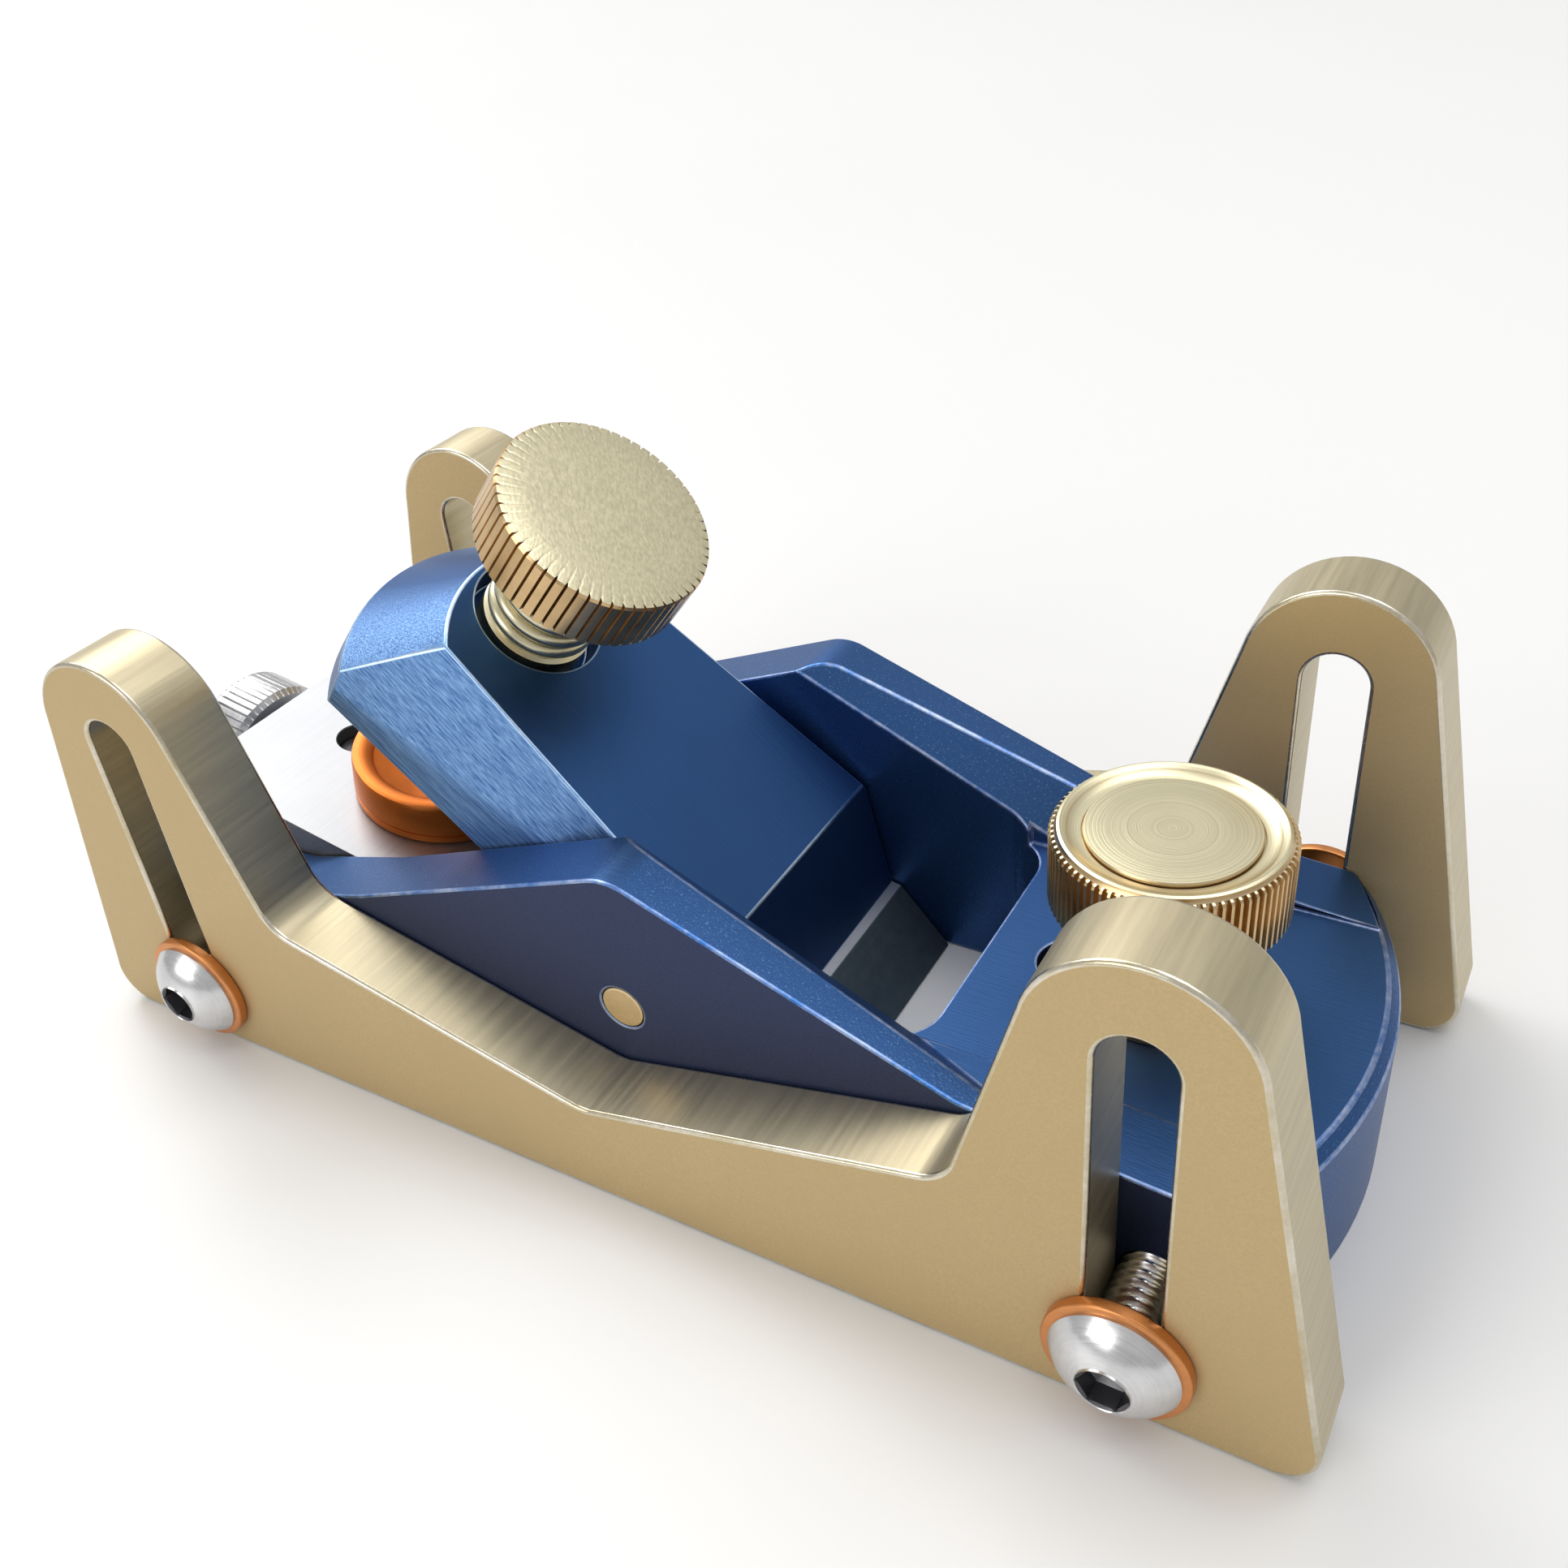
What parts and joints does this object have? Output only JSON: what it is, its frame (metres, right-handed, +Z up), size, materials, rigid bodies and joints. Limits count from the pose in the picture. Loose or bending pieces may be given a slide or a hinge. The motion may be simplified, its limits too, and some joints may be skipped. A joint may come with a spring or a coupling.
{
  "type": "hand plane",
  "caption": "Low-angle block plane with a lever cap and thumbscrew, an adjustable toe, and slotted side skids that set its height over the work.",
  "frame": {"origin": "middle of the sole of the body, midway between the four clamp screws, on the surface the plane stands on", "axes": "+X from the tail towards the toe, +Y to the left side, +Z up"},
  "size_m": [0.1256, 0.0604, 0.0543],
  "materials": {
    "anodised_blue": "satin blue anodised aluminium, brushed on the top faces",
    "plate_blue": "satin dark blue anodised aluminium",
    "champagne": "satin champagne anodised aluminium, fine cross brushing",
    "knob_champagne": "turned and knurled champagne aluminium",
    "copper": "polished copper",
    "stainless": "polished stainless steel",
    "blade_steel": "matte ground tool steel",
    "dark_steel": "dark oiled steel",
    "pin_brass": "faced brass",
    "pad_orange": "glossy orange anodised aluminium"
  },
  "bodies": {
    "body": {"body": "anodised_blue", "cross_pin": "pin_brass", "left_front_washer": "copper", "left_rear_washer": "copper", "right_front_washer": "copper", "right_rear_washer": "copper"},
    "toe_plate": {"toe_plate": "plate_blue", "toe_washer": "copper"},
    "toe_knob": {"toe_knob": "knob_champagne", "toe_stud": "stainless"},
    "blade": {"blade": "blade_steel", "adjuster_yoke": "dark_steel"},
    "adjuster": {"adjuster_rod": "stainless", "adjuster_knob": "stainless"},
    "lever_cap": {"lever_cap": "anodised_blue"},
    "pressure_pad": {"pressure_pad": "pad_orange"},
    "thumbscrew": {"thumbscrew_knob": "knob_champagne", "thumbscrew_shank": "knob_champagne"},
    "left_skid": {"left_skid": "champagne"},
    "right_skid": {"right_skid": "champagne"},
    "left_front_screw": {"left_front_screw": "stainless"},
    "left_rear_screw": {"left_rear_screw": "stainless"},
    "right_front_screw": {"right_front_screw": "stainless"},
    "right_rear_screw": {"right_rear_screw": "stainless"}
  },
  "joints": [
    {"name": "thumbscrew_turn", "type": "hinge", "parent": "pressure_pad", "child": "thumbscrew", "pos_m": [-0.0184, 0, 0.0373], "axis": [0.6428, 0, 0.766], "range_deg": [0, 360]},
    {"name": "pad_lift", "type": "slide", "parent": "lever_cap", "child": "pressure_pad", "axis": [0.6428, 0, 0.766], "range_m": [0, 0.001]},
    {"name": "lever_cap_tilt", "type": "hinge", "parent": "body", "child": "lever_cap", "pos_m": [0.0005, 0, 0.0152], "axis": [0, 1, 0], "range_deg": [-0.6, 0]},
    {"name": "blade_slide", "type": "slide", "parent": "body", "child": "blade", "axis": [0.9781, 0, -0.2079], "range_m": [-0.002, 0.001]},
    {"name": "adjuster_turn", "type": "hinge", "parent": "blade", "child": "adjuster", "pos_m": [0.01287, 0, -0.00332], "axis": [0.9781, 0, -0.2079], "range_deg": [-900, 450]},
    {"name": "toe_slide", "type": "slide", "parent": "body", "child": "toe_plate", "axis": [1, 0, 0], "range_m": [-0.0024, 0.001]},
    {"name": "toe_knob_turn", "type": "hinge", "parent": "toe_plate", "child": "toe_knob", "pos_m": [0.0386, 0, 0.02], "axis": [0, 0, 1], "range_deg": [0, 360]},
    {"name": "left_skid_slide", "type": "slide", "parent": "body", "child": "left_skid", "axis": [0, 0, -1], "range_m": [0, 0.0265]},
    {"name": "right_skid_slide", "type": "slide", "parent": "body", "child": "right_skid", "axis": [0, 0, -1], "range_m": [0, 0.0265]},
    {"name": "left_front_screw_turn", "type": "hinge", "parent": "body", "child": "left_front_screw", "pos_m": [0.045, 0.024, 0.0064], "axis": [0, 1, 0], "range_deg": [0, 360]},
    {"name": "left_rear_screw_turn", "type": "hinge", "parent": "body", "child": "left_rear_screw", "pos_m": [-0.045, 0.024, 0.0064], "axis": [0, 1, 0], "range_deg": [0, 360]},
    {"name": "right_front_screw_turn", "type": "hinge", "parent": "body", "child": "right_front_screw", "pos_m": [0.045, -0.024, 0.0064], "axis": [0, -1, 0], "range_deg": [0, 360]},
    {"name": "right_rear_screw_turn", "type": "hinge", "parent": "body", "child": "right_rear_screw", "pos_m": [-0.045, -0.024, 0.0064], "axis": [0, -1, 0], "range_deg": [0, 360]}
  ],
  "couplings": [
    {"joint": "pad_lift", "follows": "thumbscrew_turn", "m_per_rad": 0.00015915},
    {"joint": "lever_cap_tilt", "follows": "thumbscrew_turn", "ratio": -0.0016667},
    {"joint": "adjuster_turn", "follows": "blade_slide", "rad_per_m": 7853.9}
  ]
}
